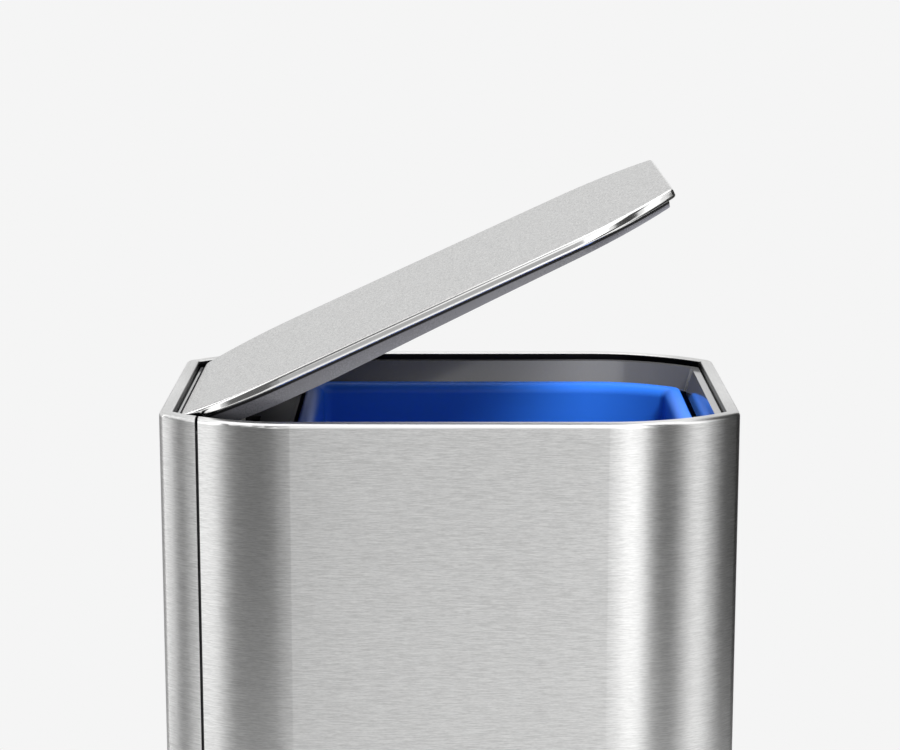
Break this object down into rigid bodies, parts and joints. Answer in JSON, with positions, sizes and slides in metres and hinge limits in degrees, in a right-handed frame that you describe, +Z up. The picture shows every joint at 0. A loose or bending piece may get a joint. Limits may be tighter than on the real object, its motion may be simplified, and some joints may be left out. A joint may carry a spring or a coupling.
{
  "type": "step trash can",
  "caption": "Slim rectangular steel step trash can with a hinged lid, pedal linkage, soft-close damper and lift-out inner bucket.",
  "frame": {"origin": "centre of the body's footprint, on the floor", "axes": "+X from the hinge to the pedal, +Y across the can, +Z up"},
  "size_m": [0.4637, 0.26, 0.7816],
  "materials": {
    "body_steel": "horizontally brushed stainless steel",
    "lid_steel": "very finely brushed stainless steel",
    "collar_plastic": "glossy grey",
    "liner_plastic": "satin dark grey",
    "bucket_plastic": "glossy blue",
    "base_plastic": "fine-textured black",
    "frame_plastic": "moulded black",
    "rubber": "black rubber",
    "plated_steel": "zinc plated",
    "pin_steel": "ground steel",
    "nylon": "natural nylon",
    "damper_aluminium": "drawn aluminium",
    "fasteners": "plated screws and rivets"
  },
  "bodies": {
    "root": {"base_tray": "base_plastic", "bucket_deck": "frame_plastic", "collar": "collar_plastic", "cover_screws": "fasteners", "damper_bracket": "frame_plastic", "damper_cap": "nylon", "damper_cylinder": "damper_aluminium", "deck_screws": "fasteners", "feet": "rubber", "front_shell": "body_steel", "guide_screws": "fasteners", "hinge_brackets": "plated_steel", "hinge_clip": "pin_steel", "hinge_pin": "pin_steel", "hinge_screws": "fasteners", "lower_rod_guide": "frame_plastic", "pivot_bracket": "plated_steel", "pivot_clip": "pin_steel", "pivot_pin": "pin_steel", "pivot_screws": "fasteners", "rear_cover": "body_steel", "rear_deck": "frame_plastic", "rear_frame": "frame_plastic", "rear_panel": "frame_plastic", "upper_rod_guide": "frame_plastic"},
    "lid": {"lid_skin": "lid_steel", "lid_liner": "liner_plastic", "lid_bracket": "plated_steel", "crank_pin": "pin_steel", "lid_bracket_screws": "fasteners", "lid_bumpers": "rubber"},
    "push_rod": {"rod_yoke": "nylon", "push_rod": "plated_steel", "rod_foot": "nylon", "damper_piston": "rubber", "damper_rod": "pin_steel", "damper_link": "nylon"},
    "pedal": {"pedal_lever": "plated_steel", "pedal_tread": "lid_steel", "tread_pad": "rubber", "tread_rivets": "fasteners", "tail_shoe": "nylon", "pivot_bushes": "nylon"},
    "bucket": {"inner_bucket": "bucket_plastic"}
  },
  "joints": [
    {"name": "lid_hinge", "type": "hinge", "parent": "root", "child": "lid", "pos_m": [-0.182, 0, 0.6165], "axis": [0, -1, 0], "range_deg": [-25, 57]},
    {"name": "rod_slide", "type": "slide", "parent": "root", "child": "push_rod", "axis": [0, 0, 1], "range_m": [-0.0101, 0.023]},
    {"name": "pedal_pivot", "type": "hinge", "parent": "root", "child": "pedal", "pos_m": [0.055, 0, 0.028], "axis": [0, 1, 0], "range_deg": [-2.68, 6.1]},
    {"name": "bucket_lift", "type": "slide", "parent": "root", "child": "bucket", "axis": [0, 0, 1], "range_m": [0, 0.002]}
  ],
  "couplings": [
    {"joint": "rod_slide", "follows": "lid_hinge", "m_per_rad": 0.023068},
    {"joint": "pedal_pivot", "follows": "lid_hinge", "ratio": 0.107}
  ]
}
